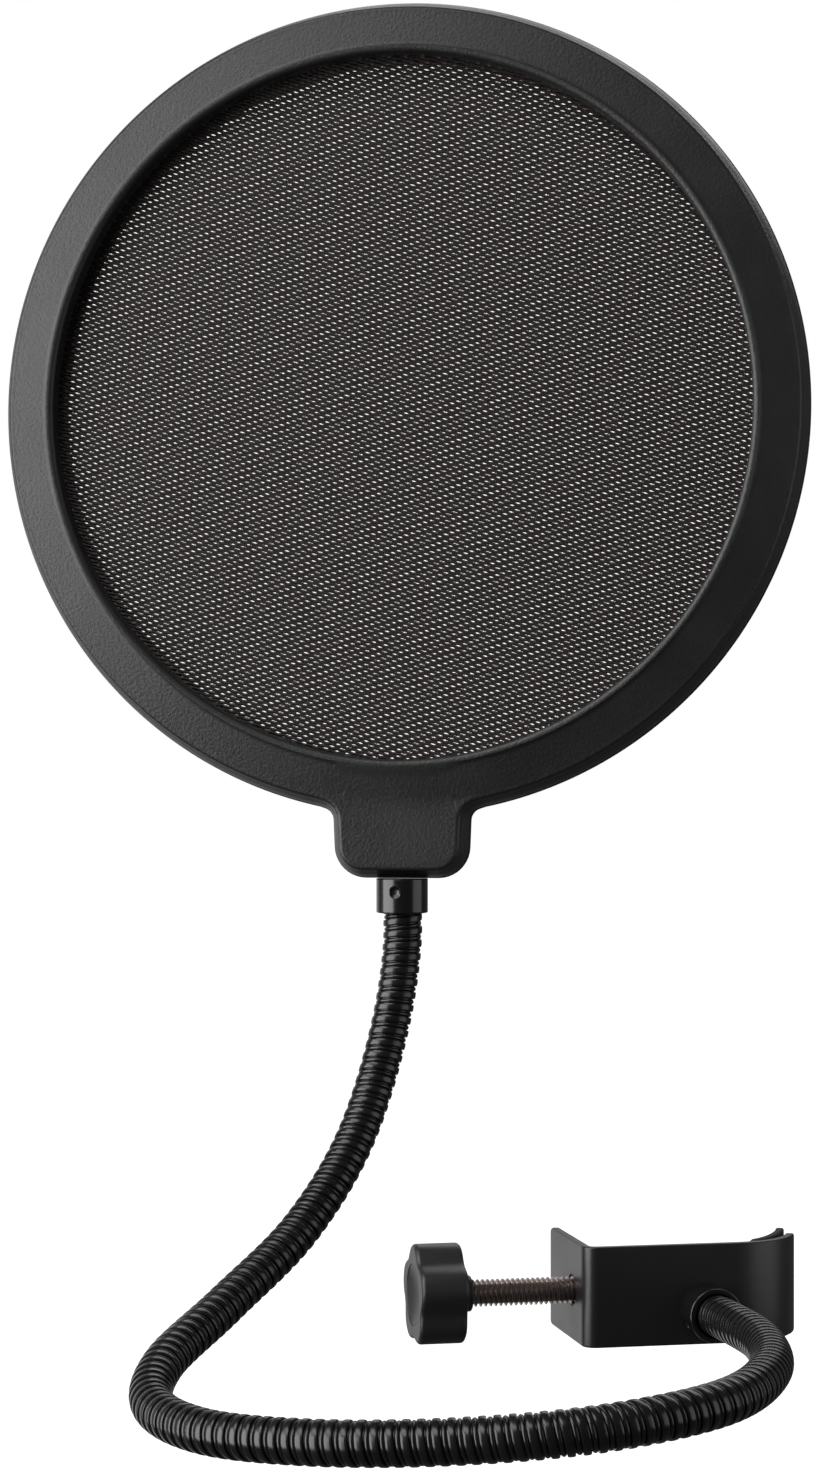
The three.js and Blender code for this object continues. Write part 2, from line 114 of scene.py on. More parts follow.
# ferrules
FERRULE_R = 4.95
FERRULE_SHOWN = 6.3
FERRULE_BORE_R = 3.95
FERRULE_STEM = GAP - 0.02
FERRULE_RIM_R = 0.35
FERRULE_COLUMNS = 160
FERRULE_STEP = 0.22
CUP_DEEP = 4.6
DIMPLE_R = 1.05
DIMPLE_DEEP = 0.5
DIMPLE_FROM_RIM = 2.2
DIMPLE_LIP_R = 1.25
DIMPLE_LIP_HIGH = 0.03
UPPER_DIMPLE_TURN = -math.pi / 2 + HEAD_YAW - 0.14
BASE_DIMPLE_TURN = math.pi + 27 * DEGREE

# gooseneck: the CAD model's centre line, from the base ferrule to the upper one
NECK_ROUTE = [
    (8, -5, -2.9), (8.7, -16, -2.9), (8.4, -34, -3), (2.5, -56, -3.4), (-12, -76.5, -4),
    (-34, -84.8, -5.4), (-57, -79, -7.7), (-78, -67, -9.4), (-92.5, -50, -10.4),
    (-97.6, -31, -9.6), (-94, -16.5, -6.2), (-80.5, 1.6, 0.6), (-64, 17.5, 11.5),
    (-52, 28.4, 26), (-44, 35.2, 46), (-41.1, 37, 62), (-41.1, 37, 72.2),
]
NECK_R = 3.75
NECK_PITCH = 2.44
NECK_GROOVE_DEEP = 0.5
# each band of the wound strip: its start and width as shares of one pitch, how far its middle lies below the
# neck's radius, how far its edges fall from there, and the power of that curve
BROAD_BAND = (0.03, 0.50, 0.0, 0.10, 6)
NARROW_BAND = (0.60, 0.33, 0.18, 0.22, 2)
GROOVE_WALL = 0.025
NECK_STEP = 0.25
ROUTE_STEPS = 60
NECK_COLUMNS = 40
NECK_JOINTS = 8
FIRST_JOINT_AT = 26.0
JOINT_SPACING = 39.0

# clamp bracket
STRIP_HALF = 9.2
STRIP_THICK = 1.6
FLANGE_X = -15.0
FLANGE_END_Y = 24.4
CORNER_OUTER_R = 2.6
FLANGE_CORNER_R = 1.3
HOOK_START_X = 13.9
HOOK_OUTER_R = 15.1
HOOK_SWEEP = 76.6 * DEGREE
HOOK_CORNER_R = 2.5
STRIP_EDGE_R = 0.38
STATION_STEP = 1.6
# at a strip's free end: how much of its edges' radius is drawn in, and the least radius of its corners
END_DRAWN_IN = 0.98
LEAST_CORNER_R = 0.02
JAW_PAD_THICK = 1.6
JAW_PAD_START = 4 * DEGREE
JAW_PAD_HALF = 10.0
JAW_PAD_EDGE_R = 0.45
JAW_PAD_CORNER_R = 1.3
SOCKET_X = 8.0
SOCKET_Z = -2.9
BASE_SCREW_R = 3.7
BASE_SCREW_HIGH = 1.5
CROSS_LONG = 2.1
CROSS_HALF = 0.36
CROSS_DEEP = 0.8

# clamping screw, pressure pad and knob
SCREW_Y = 7.9
SCREW_R = 2.5
SCREW_ROOT_R = 1.98
SCREW_PITCH = 0.95
SCREW_START_X = -40.6
SCREW_END_X = -4.5
COLLAR_R = 4.2
COLLAR_LENGTH = 2.2
HOLE_R = 2.65
BALL_X = -0.6
BALL_R = 2.2
BALL_NECK_R = 1.3
CUP_R = 5.5
CUP_BACK_X = -2.6
CUP_FRONT_X = 2.2
PAD_RUBBER_R = 5.2
PAD_FACE_X = 4.0
KNOB_FRONT_X = -45.0
KNOB_BACK_X = -36.2
HUB_BACK_X = -34.2
KNOB_R = 9.35
KNOB_LOBES = 5
KNOB_LOBE_DEEP = 1.5
KNOB_EDGE_R = 0.8
HUB_R = 3.3
DISH_R = 5.5
DISH_DEEP = 1.2
DISH_RIM_R = 0.35
KNOB_BORE_DEEP = 7.0


# ---------------------------------------------------------------- outlines
def rounded(corners, closed=False, steps=6):
    """A smooth outline through corners, each (u, v, fillet radius)."""
    count = len(corners)
    outline = []
    for i, (u, v, radius) in enumerate(corners):
        here = np.array([u, v], float)
        at_end = not closed and i in (0, count - 1)
        if radius == 0 or at_end:
            outline.append(here)
            continue
        back = np.array(corners[i - 1][:2], float) - here
        ahead = np.array(corners[(i + 1) % count][:2], float) - here
        back /= np.linalg.norm(back)
        ahead /= np.linalg.norm(ahead)
        half = 0.5 * math.acos(np.clip(back @ ahead, -1, 1))
        middle = back + ahead
        centre = here + middle / np.linalg.norm(middle) * radius / math.sin(half)
        start = here + back * radius / math.tan(half) - centre
        end = here + ahead * radius / math.tan(half) - centre
        turn = math.pi - 2 * half
        for t in np.linspace(0, 1, steps + 1):
            spoke = (math.sin((1 - t) * turn) * start + math.sin(t * turn) * end) / math.sin(turn)
            outline.append(centre + spoke)
    return np.array(outline)


def spaced(points, step):
    """Points along a polyline, with none further apart than step."""
    out = [points[0]]
    for a, b in zip(points[:-1], points[1:]):
        pieces = max(1, math.ceil(np.linalg.norm(b - a) / step))
        out += [a + (b - a) * k / pieces for k in range(1, pieces + 1)]
    return np.array(out)


def circle(columns):
    """Evenly spaced angles once round."""
    return np.linspace(0, 2 * math.pi, columns, endpoint=False)


# ---------------------------------------------------------------- meshes
def grid(rows, wrap_rows=False, wrap_columns=True):
    """The vertices and quads of a sheet of points laid out in rows and columns."""
    rows = np.asarray(rows, float)
    n, m = rows.shape[:2]
    i = np.arange(n if wrap_rows else n - 1)
    j = np.arange(m if wrap_columns else m - 1)
    a, b = np.meshgrid(i, j, indexing="ij")
    a2, b2 = (a + 1) % n, (b + 1) % m
    quads = np.stack([a * m + b, a2 * m + b, a2 * m + b2, a * m + b2], -1)
    return rows.reshape(-1, 3), quads.reshape(-1, 4)


def turned(profile, columns=96):
    """Rows of points round z, from a profile of (radius, height) points that starts and ends on the axis."""
    angle = circle(columns)
    rows = [np.stack([r * np.cos(angle), r * np.sin(angle), np.full(columns, h)], -1) for r, h in profile]
    return np.array(rows)


def lay_along(points, axis, centre):
    """Turns points made about z so that z lies along x or y, and moves them to a centre."""
    x, y, z = points[..., 0], points[..., 1], points[..., 2]
    turned_points = {"x": (z, x, y), "y": (x, z, -y)}[axis]
    return np.stack(turned_points, -1) + np.array(centre, float)


def in_head(points):
    """From the screen's own frame to the object's frame."""
    c, s = math.cos(HEAD_YAW), math.sin(HEAD_YAW)
    x, y, z = points[..., 0], points[..., 1], points[..., 2]
    return np.stack([c * x - s * y, s * x + c * y, z], -1) + np.array(HEAD_CENTRE)


def close_holes(bm):
    """Closes each open end with a fan round a point in its middle."""
    open_edges = {edge for edge in bm.edges if edge.is_boundary}
    while open_edges:
        loop = [open_edges.pop()]
        growing = list(loop[0].verts)
        while growing:
            for edge in growing.pop().link_edges:
                if edge in open_edges:
                    open_edges.remove(edge)
                    loop.append(edge)
                    growing += list(edge.verts)
        around = list({v for edge in loop for v in edge.verts})
        middle = bm.verts.new(sum((v.co for v in around), Vector()) / len(around))
        for edge in loop:
            bm.faces.new([*edge.verts, middle])


def make(name, sheets, material, tidy=True):
    """A piece made of one or more sheets of vertices and quads, in millimetres.

    A quad whose last two corners are the same is a triangle. Tidying joins points that meet, closes open
    ends and turns every face outwards.
    """
    points, faces, count = [], [], 0
    for vertices, quads in sheets:
        points.append(vertices)
        faces.append(quads + count)
        count += len(vertices)
    mesh = bpy.data.meshes.new(name)
    corners = [face[:3] if face[2] == face[3] else face for face in np.vstack(faces).tolist()]
    mesh.from_pydata((np.vstack(points) * MM).tolist(), [], corners)
    if tidy:
        bm = bmesh.new()
        bm.from_mesh(mesh)
        bmesh.ops.remove_doubles(bm, verts=bm.verts, dist=WELD * MM)
        bmesh.ops.dissolve_degenerate(bm, edges=bm.edges, dist=WELD * MM)
        close_holes(bm)
        bmesh.ops.recalc_face_normals(bm, faces=bm.faces)
        bm.to_mesh(mesh)
        bm.free()
    piece = bpy.data.objects.new(name, mesh)
    bpy.context.scene.collection.objects.link(piece)
    mesh.materials.append(material)
    smooth(mesh)
    return piece


def smooth(mesh):
    """Smooth shading, with a hard edge wherever two faces meet at a sharp angle."""
    bm = bmesh.new()
    bm.from_mesh(mesh)
    for edge in bm.edges:
        edge.smooth = edge.calc_face_angle(0) < SHARP_ANGLE
    for face in bm.faces:
        face.smooth = True
    bm.to_mesh(mesh)
    bm.free()


def carve(piece, tool, operation="DIFFERENCE"):
    """Cuts the tool out of the piece, or joins it on, and removes the tool."""
    modifier = piece.modifiers.new("carve", "BOOLEAN")
    modifier.object = tool
    modifier.operation = operation
    modifier.solver = "EXACT"
    depsgraph = bpy.context.evaluated_depsgraph_get()
    mesh = bpy.data.meshes.new_from_object(piece.evaluated_get(depsgraph))
    piece.modifiers.clear()
    old = piece.data
    piece.data = mesh
    bpy.data.meshes.remove(old)
    bpy.data.objects.remove(tool)
    smooth(mesh)


def fit(piece, body, node):
    """Puts a piece on a body, in place of one CAD node."""
    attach(piece, body)
    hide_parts(node)


# ---------------------------------------------------------------- materials
class Nodes:
    """A small helper that adds shader nodes to one material."""

    def __init__(self, name):
        self.material = bpy.data.materials.new(name)
        self.material.use_nodes = True
        self.tree = self.material.node_tree
        self.shader = self.tree.nodes["Principled BSDF"]
        self.place = self.add("ShaderNodeTexCoord").outputs["Object"]

    def add(self, kind, **inputs):
        node = self.tree.nodes.new(kind)
        for key, value in inputs.items():
            node.inputs[key.replace("_", " ")].default_value = value
        return node

    def link(self, output, target):
        self.tree.links.new(output, target)

    def noise(self, size_mm, detail, roughness=0.55):
        """A noise whose features are about size_mm across."""
        node = self.add("ShaderNodeTexNoise", Scale=1 / (size_mm * MM), Detail=detail, Roughness=roughness)
        self.link(self.place, node.inputs["Vector"])
        return node.outputs["Fac"]

    def ramp(self, value, stops):
        """Colours by value, from (place, colour) stops."""
        node = self.add("ShaderNodeValToRGB")
        ends = node.color_ramp.elements
        while len(ends) < len(stops):
            ends.new(0.5)
        for end, (place, colour) in zip(ends, stops):
            end.position = place
            end.color = (*colour, 1)
        self.link(value, node.inputs["Fac"])
        return node.outputs["Color"]

    def spread(self, value, low, high):
        """Turns a noise's usual range into low to high."""
        node = self.add("ShaderNodeMapRange", From_Min=NOISE_LOW, From_Max=NOISE_HIGH,
                        To_Min=low, To_Max=high)
        self.link(value, node.inputs["Value"])
        return node.outputs["Result"]

    def bump(self, value, depth_mm):
        """Small relief, depth_mm deep, that follows a value."""
        node = self.add("ShaderNodeBump", Strength=1.0, Distance=depth_mm * MM)
        self.link(value, node.inputs["Height"])
        return node.outputs["Normal"]


def grey(value, warm=0.0):
    """A grey, or a slightly warm one."""
    return (value * (1 + warm), value, value * (1 - 0.3 * warm))


def coated(name, shade, gloss, grain_mm, grain_deep, patch=0.12, coat=0.0):
    """A dark moulded or painted surface: fine grain, faint cloudy patches and uneven gloss."""
    n = Nodes(name)
    patches = n.noise(PATCH_MM, 3)
    fine = n.noise(grain_mm, 5, 0.6)
    tones = [(NOISE_LOW, grey(shade * (1 - patch))), (NOISE_HIGH, grey(shade * (1 + patch)))]
    n.link(n.ramp(patches, tones), n.shader.inputs["Base Color"])
    uneven = n.spread(patches, gloss * (1 - PATCH_GLOSS), gloss * (1 + PATCH_GLOSS))
    n.link(uneven, n.shader.inputs["Roughness"])
    n.link(n.bump(fine, grain_deep), n.shader.inputs["Normal"])
    n.shader.inputs["Coat Weight"].default_value = coat
    n.shader.inputs["Coat Roughness"].default_value = 0.12
    return n.material


def brushed(name, shade, warm, gloss, across):
    """Bare or plated metal with fine marks square to one axis: 0 for x, 1 for y."""
    n = Nodes(name)
    squeeze = n.add("ShaderNodeMapping")
    scale = [1.0, 1.0, 1.0]
    scale[across] = MARK_LENGTHS
    squeeze.inputs["Scale"].default_value = scale
    n.link(n.place, squeeze.inputs["Vector"])
    marks = n.add("ShaderNodeTexNoise", Scale=MARKS_A_METRE, Detail=5.0, Roughness=0.6)
    n.link(squeeze.outputs["Vector"], marks.inputs["Vector"])
    value = marks.outputs["Fac"]
    tones = [(0.35, grey(shade * 0.6, warm)), (0.65, grey(shade * 1.25, warm))]
    n.link(n.ramp(value, tones), n.shader.inputs["Base Color"])
    n.link(n.spread(value, gloss * 1.25, gloss * 0.8), n.shader.inputs["Roughness"])
    n.link(n.bump(value, 0.02), n.shader.inputs["Normal"])
    n.shader.inputs["Metallic"].default_value = 1.0
    return n.material


def thread_material(name):
    """Black nylon thread: finely mottled fibres with a soft sheen."""
    n = Nodes(name)
    fibres = n.noise(0.35, 3)
    tones = [(NOISE_LOW, grey(0.006, 0.3)), (NOISE_HIGH, grey(0.020, 0.3))]
    n.link(n.ramp(fibres, tones), n.shader.inputs["Base Color"])
    n.link(n.spread(fibres, 0.42, 0.62), n.shader.inputs["Roughness"])
    n.shader.inputs["Specular IOR Level"].default_value = 0.38
    n.shader.inputs["Specular Tint"].default_value = WARM_WHITE
    n.shader.inputs["Sheen Tint"].default_value = WARM_WHITE
    n.shader.inputs["Sheen Weight"].default_value = 0.1
    n.shader.inputs["Sheen Roughness"].default_value = 0.4
    return n.material


frame_plastic = coated("frame_plastic", shade=0.0165, gloss=0.43, grain_mm=0.6, grain_deep=0.11)
inner_plastic = coated("inner_plastic", shade=0.012, gloss=0.6, grain_mm=0.4, grain_deep=0.02)
knob_plastic = coated("knob_plastic", shade=0.018, gloss=0.42, grain_mm=0.3, grain_deep=0.01)
gloss_metal = coated("gloss_metal", shade=0.006, gloss=0.24, grain_mm=1.2, grain_deep=0.004, coat=0.2)
neck_metal = coated("neck_metal", shade=0.008, gloss=0.25, grain_mm=0.8, grain_deep=0.006, patch=0.3)
satin_metal = coated("satin_metal", shade=0.012, gloss=0.36, grain_mm=0.25, grain_deep=0.012)
rubber = coated("rubber", shade=0.012, gloss=0.78, grain_mm=0.2, grain_deep=0.03)
screw_steel = brushed("screw_steel", shade=0.35, warm=0.18, gloss=0.28, across=1)
zinc_steel = brushed("zinc_steel", shade=0.42, warm=0.03, gloss=0.34, across=0)
nylon = thread_material("nylon_thread")


# ---------------------------------------------------------------- screen
def ring_outline():
    """Points round the ring and down its tab, with their outward directions."""
    side = TAB_HALF_WIDTH
    foot = side - TAB_TAPER
    root_x = side + TAB_FLARE
    root_angle = math.asin(root_x / RING_OUTER_R)
    turns = np.linspace(-math.pi / 2 + root_angle, 1.5 * math.pi - root_angle, RING_STEPS)
    ring = np.stack([RING_OUTER_R * np.cos(turns), RING_OUTER_R * np.sin(turns)], -1)
    root_z = ring[-1, 1]
    tab_corners = [
        (-root_x, root_z, 0),
        (-side, root_z - TAB_SHOULDER, TAB_FLARE * 0.9),
        (-foot, -TAB_REACH, TAB_CORNER_R),
        (foot, -TAB_REACH, TAB_CORNER_R),
        (side, root_z - TAB_SHOULDER, TAB_FLARE * 0.9),
        (root_x, root_z, 0),
    ]
    tab = spaced(rounded(tab_corners, steps=10), TAB_STEP)
    outline = np.vstack([ring, tab[1:-1]])
    ahead = np.roll(outline, -1, 0) - np.roll(outline, 1, 0)
    ahead /= np.linalg.norm(ahead, axis=1)[:, None]
    outward = np.stack([ahead[:, 1], -ahead[:, 0]], -1)
    return outline, outward


def frame_half(name, side):
    """One half of the ring with its half of the tab; side is 1 for the front and -1 for the rear.

    Its rows of points run over the inner lip, down the sloping face, round the edge, down the drafted side
    to the seam, and back along the inside of the wall.
    """
    outline, outward = ring_outline()
    if side > 0:
        outline = outline - outward * FRONT_INSET
    radial = outline / np.linalg.norm(outline, axis=1)[:, None]
    rows = []

    def row(flat, height):
        rows.append(np.stack([flat[:, 0], np.broadcast_to(-side * height, len(flat)), flat[:, 1]], -1))

    def lip(radius, height):
        row(radial * radius, height)

    mesh_seat = MESH_PLANE + GAP
    wall_r = RING_OUTER_R - WALL - FRONT_INSET
    lip(OPENING_R, mesh_seat)
    lip(OPENING_R, (mesh_seat + LIP_HALF) / 2)
    for turn in np.linspace(180, 80, 8) * DEGREE:
        centre_r = OPENING_R + LIP_FILLET
        lip(centre_r + LIP_FILLET * math.cos(turn), LIP_HALF - LIP_FILLET + LIP_FILLET * math.sin(turn))
    inner = radial * (OPENING_R + LIP_FILLET + LIP_END)
    crease = outline - outward * SIDE_DRAFT
    outer = crease - outward * EDGE_FILLET
    slope_end = RING_OUTER_R - EDGE_FILLET - SIDE_DRAFT - FRONT_INSET
    for share in np.linspace(0.06, 0.94, 12):
        flat = inner + (outer - inner) * share
        fall = np.clip((np.linalg.norm(flat, axis=1) - OPENING_R) / (slope_end - OPENING_R), 0, 1)
        row(flat, LIP_HALF + (RIM_HALF - LIP_HALF) * fall)
    for turn in np.linspace(90, 0, 9) * DEGREE:
        out = crease + outward * EDGE_FILLET * (math.cos(turn) - 1)
        row(out, RIM_HALF - EDGE_FILLET * (1 - math.sin(turn)))
    for share in np.linspace(0.85, 0.1, 6):
        row(outline - outward * SIDE_DRAFT * share ** SIDE_CURVE, (RIM_HALF - EDGE_FILLET) * share)
    row(outline - outward * SEAM_BEVEL, SEAM_HALF)
    row(outline - outward * WALL * 0.6, SEAM_HALF)
    lip(wall_r, SEAM_HALF)
    lip(wall_r, RIM_HALF - WALL)
    lip(OPENING_R + WALL, LIP_HALF - WALL - LIP_FILLET)
    lip(OPENING_R + WALL, mesh_seat)
    points, quads = grid(rows, wrap_rows=True)
    return make(name, [(in_head(points), quads)], frame_plastic)


def countersink(x):
    """The cutting shape of a screw's seat in the back of the tab."""
    bottom = RIM_HALF - TAB_SCREW_HEAD_DEEP - GAP
    top = RIM_HALF + CUT_PAST
    radius = TAB_SCREW_HEAD_R + GAP
    wide = radius + 0.5
    profile = [(0, bottom), (radius, bottom), (radius, RIM_HALF - 0.2), (wide, RIM_HALF + 0.3)]
    profile += [(wide, top), (0, top)]
    points, quads = grid(lay_along(turned(profile, 48), "y", (x, 0, TAB_SCREW_Z)))
    return make("countersink", [(in_head(points), quads)], frame_plastic)


def slot_tool(centre, long_half, wide_half, deep, high):
    """A box that cuts one driver slot; high is where its open side lies along y."""
    x, z = centre
    low = np.array([x - long_half, high - deep, z - wide_half])
    top = np.array([x + long_half, high + CUT_PAST, z + wide_half])
    corners = [[low[0], low[1]], [top[0], low[1]], [top[0], top[1]], [low[0], top[1]]]
    return np.array([[(u, v, w) for u, v in corners] for w in (low[2], top[2])])


def tab_screw(name, x):
    """A slotted cheese-head screw in the back of the tab."""
    under = RIM_HALF - TAB_SCREW_HEAD_DEEP
    top = RIM_HALF - GAP
    profile = [(0, under, 0), (TAB_SCREW_HEAD_R, under, 0.1), (TAB_SCREW_HEAD_R, top, 0.35), (0, top, 0)]
    head = lay_along(turned(rounded(profile), 48), "y", (x, 0, TAB_SCREW_Z))
    points, quads = grid(head)
    screw = make(f"{name}_head", [(in_head(points), quads)], zinc_steel)
    slot_long = TAB_SCREW_HEAD_R + CUT_PAST
    slot = slot_tool((x, TAB_SCREW_Z), slot_long, SLOT_HALF, SLOT_DEEP, top)
    tool_points, tool_quads = grid(slot)
    carve(screw, make("slot", [(in_head(tool_points), tool_quads)], zinc_steel))
    fit(screw, "head", name)


def net_lines(zigzag):
    """The middle line of every thread of a square net, each with whether it is a cross thread."""
    half = MESH_R * NET_SPARE
    across = np.arange(-half, half, WARP_PITCH)
    z = np.linspace(-half, half, WARP_STEPS)
    for x in across + WARP_PITCH / 2:
        yield np.stack([np.full(len(z), x), 0 * z, z], -1), False
    for j, height in enumerate(np.arange(-half, half, WEFT_PITCH)):
        over = (-1.0) ** (np.arange(len(across)) + j)
        yield np.stack([across, over * WEAVE_HALF, height + over * zigzag], -1), True


def drawn(points, net):
    """Lays the net on the slant, pulls it a little out of true and turns it."""
    x, y, z = points[..., 0], points[..., 1], points[..., 2]
    sag, sag_length, sway, sway_length = net["drift"]
    z = z - WEFT_SLANT * x + sag * np.sin(x / sag_length)
    x = x + sway * np.cos(z / sway_length)
    c, s = math.cos(net["turn"]), math.sin(net["turn"])
    return np.stack([c * x - s * z, y, s * x + c * z], -1)


def thread(line, flat_way, width, thick):
    """A flat thread of three-sided section along a line of points, closed at both ends."""
    edge = np.array(flat_way, float) * width / 2
    crown = np.array([0, -thick, 0])
    points, quads = grid(np.stack([line - edge, line + edge, line + crown], 1))
    last = len(points) - 3
    caps = np.array([[0, 1, 2, 2], [last, last + 2, last + 1, last + 1]])
    return points, np.vstack([quads, caps])


def net_disc(name, net):
    """A round net of flat threads bonded where they cross.

    The cross threads zigzag in opposite ways from row to row, so the net's openings are long lens shapes
    set like bricks in a wall.
    """
    plane = np.array([0, -net["side"] * MESH_PLANE, 0])
    sheets = []
    for line, crosses in net_lines(net["zigzag"]):
        width = net["width"] if crosses else WARP_WIDTH
        flat_way = (0, 0, 1) if crosses else (1, 0, 0)
        inside = np.hypot(*drawn(line, net)[:, [0, 2]].T) < MESH_R - width
        if inside.sum() < 3:
            continue
        points, quads = thread(line[inside], flat_way, width, net["thick"])
        sheets.append((in_head(drawn(points, net) + plane), quads))
    cloth = make(name, sheets, nylon, tidy=False)
    return cloth


def build_screen():
    """The two frame halves, their screws and nets, and the carried-over ring between the nets."""
    front = frame_half("front_shell", 1)
    fit(front, "head", "front_frame")
    rear = frame_half("rear_shell", -1)
    for x in (-TAB_SCREW_X, TAB_SCREW_X):
        carve(rear, countersink(x))
    fit(rear, "head", "rear_frame")
    tab_screw("tab_screw_left", -TAB_SCREW_X)
    tab_screw("tab_screw_right", TAB_SCREW_X)
    fit(net_disc("front_net", FRONT_NET), "head", "front_mesh")
    fit(net_disc("rear_net", REAR_NET), "head", "rear_mesh")
    NODES["mesh_spacer_ring"].data.materials.clear()
    NODES["mesh_spacer_ring"].data.materials.append(inner_plastic)


# ---------------------------------------------------------------- ferrules
def ferrule(dimple_turn):
    """A turned socket along z with its mouth at the bottom, and a crimp dimple in its wall."""
    bottom = -FERRULE_SHOWN
    corners = [
        (0, FERRULE_STEM, 0),
        (FERRULE_R, FERRULE_STEM, FERRULE_RIM_R * 0.5),
        (FERRULE_R, bottom, FERRULE_RIM_R * 0.8),
        (FERRULE_BORE_R, bottom, 0.2),
        (FERRULE_BORE_R, bottom + CUP_DEEP, 0),
        (0, bottom + CUP_DEEP, 0),
    ]
    rows = turned(spaced(rounded(corners, steps=5), FERRULE_STEP), FERRULE_COLUMNS)
    x, y, z = rows[..., 0], rows[..., 1], rows[..., 2]
    radius = np.hypot(x, y)
    turn = np.arctan2(y, x) - dimple_turn
    turn = (turn + math.pi) % (2 * math.pi) - math.pi
    away = np.hypot(turn * FERRULE_R, z + DIMPLE_FROM_RIM)
    outside = radius > (FERRULE_R + FERRULE_BORE_R) / 2
    raised = DIMPLE_LIP_HIGH * np.exp(-(((away - DIMPLE_LIP_R) / 0.2) ** 2))
    dent = DIMPLE_DEEP * np.clip(1 - (away / DIMPLE_R) ** 4, 0, 1) - raised
    push = np.where(outside, 1 - dent / np.maximum(radius, 1), 1)
    return np.stack([x * push, y * push, z], -1)


def build_ferrules():
    """The upper socket under the tab and the base socket on the clamp's web."""
    top = HEAD_CENTRE[2] - TAB_REACH - GAP
    points, quads = grid(ferrule(UPPER_DIMPLE_TURN))
    points = points + np.array([HEAD_CENTRE[0], HEAD_CENTRE[1], top])
    fit(make("upper_socket", [(points, quads)], gloss_metal), "head", "upper_ferrule")
    points, quads = grid(ferrule(BASE_DIMPLE_TURN))
    x, y, z = points.T
    points = np.stack([x + SOCKET_X, z - STRIP_THICK - GAP, y + SOCKET_Z], -1)
    fit(make("base_socket", [(points, quads)], gloss_metal), "clamp", "base_ferrule")


# ---------------------------------------------------------------- gooseneck
def neck_line():
    """Distances evenly spaced along the centripetal curve through the neck's route, and the points there."""
    route = np.array(NECK_ROUTE, float)
    route = np.vstack([2 * route[0] - route[1], route, 2 * route[-1] - route[-2]])
    dense = []
    for p0, p1, p2, p3 in zip(route[:-3], route[1:-2], route[2:-1], route[3:]):
        d0, d1, d2 = (np.linalg.norm(b - a) ** 0.5 for a, b in ((p0, p1), (p1, p2), (p2, p3)))
        m1 = ((p1 - p0) / d0 - (p2 - p0) / (d0 + d1) + (p2 - p1) / d1) * d1
        m2 = ((p2 - p1) / d1 - (p3 - p1) / (d1 + d2) + (p3 - p2) / d2) * d1
        for t in np.linspace(0, 1, ROUTE_STEPS, endpoint=False):
            dense.append(p1 * (2 * t ** 3 - 3 * t ** 2 + 1) + m1 * (t ** 3 - 2 * t ** 2 + t)
                         + p2 * (3 * t ** 2 - 2 * t ** 3) + m2 * (t ** 3 - t ** 2))
    dense = np.array(dense + [route[-2]])
    along = np.concatenate([[0], np.cumsum(np.linalg.norm(np.diff(dense, axis=0), axis=1))])
    places = np.linspace(0, along[-1], int(along[-1] / NECK_STEP))
    line = np.stack([np.interp(places, along, dense[:, k]) for k in range(3)], -1)
    return places, line


def neck_frames(line):
    """Two directions square to the line at each point, carried along it without twisting."""
    ahead = np.gradient(line, axis=0)
    ahead /= np.linalg.norm(ahead, axis=1)[:, None]
    first = np.cross(ahead[0], (0, 0, 1.0))
    sideways = []
    for t in ahead:
        first = first - t * (first @ t)
        first = first / np.linalg.norm(first)
        sideways.append(first)
    sideways = np.array(sideways)
    return sideways, np.cross(ahead, sideways)


def band(start, width, low, fall, power):
    """The outline of one band of the wound strip, bowed so that its edges are lower than its middle."""
    return [(start + width * t, NECK_R - low - fall * abs(2 * t - 1) ** power) for t in np.linspace(0, 1, 7)]


def neck_profile():
    """The wound strip over one pitch: a broad band and a lower narrow one, with grooves between."""
    low = NECK_R - NECK_GROOVE_DEEP
    broad = band(*BROAD_BAND)
    narrow = band(*NARROW_BAND)
    groove = [(broad[-1][0] + GROOVE_WALL, low), (narrow[0][0] - GROOVE_WALL, low)]
    return [(0.0, low), *broad, *groove, *narrow, (narrow[-1][0] + GROOVE_WALL, low)]


def helical(places, line, across, up, start, end, pitch, profile, columns):
    """A skin whose profile winds round a line as a screw thread does, cut square at start and end."""
    share = np.array([p for p, _ in profile])
    radii = np.array([r for _, r in profile])
    first = math.floor(start / pitch) - 1
    last = math.ceil(end / pitch) + 1
    turns = np.arange(columns + 1) / columns
    rows = []
    for k in range(first, last):
        for offset, radius in zip(share, radii):
            rows.append((k + offset + turns) * pitch)
    s = np.clip(np.array(rows), start, end)
    phase = (s / pitch - turns[None, :]) % 1
    r = np.interp(phase, np.append(share, 1.0), np.append(radii, radii[0]))
    centre = np.stack([np.interp(s, places, line[:, k]) for k in range(3)], -1)
    a = np.stack([np.interp(s, places, across[:, k]) for k in range(3)], -1)
    b = np.stack([np.interp(s, places, up[:, k]) for k in range(3)], -1)
    angle = 2 * math.pi * turns[None, :, None]
    return centre + r[..., None] * (np.cos(angle) * a + np.sin(angle) * b)


def build_neck():
    """Eight lengths of the gooseneck, cut half way between joints; each runs smoothly across its joint."""
    places, line = neck_line()
    across, up = neck_frames(line)
    joints = [FIRST_JOINT_AT + i * JOINT_SPACING for i in range(NECK_JOINTS)]
    cuts = [0.0] + [(a + b) / 2 for a, b in zip(joints[:-1], joints[1:])] + [places[-1]]

    for i, joint in enumerate(joints):
        start, end = cuts[i], cuts[i + 1]
        rows = helical(places, line, across, up, start, end, NECK_PITCH, neck_profile(), NECK_COLUMNS)
        length = make(f"gooseneck_{i + 1}", [grid(rows, wrap_columns=False)], neck_metal)
        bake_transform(length)
        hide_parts(f"neck_segment_{i + 1}")
        if i == NECK_JOINTS - 1:
            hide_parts(f"neck_segment_{i + 2}")


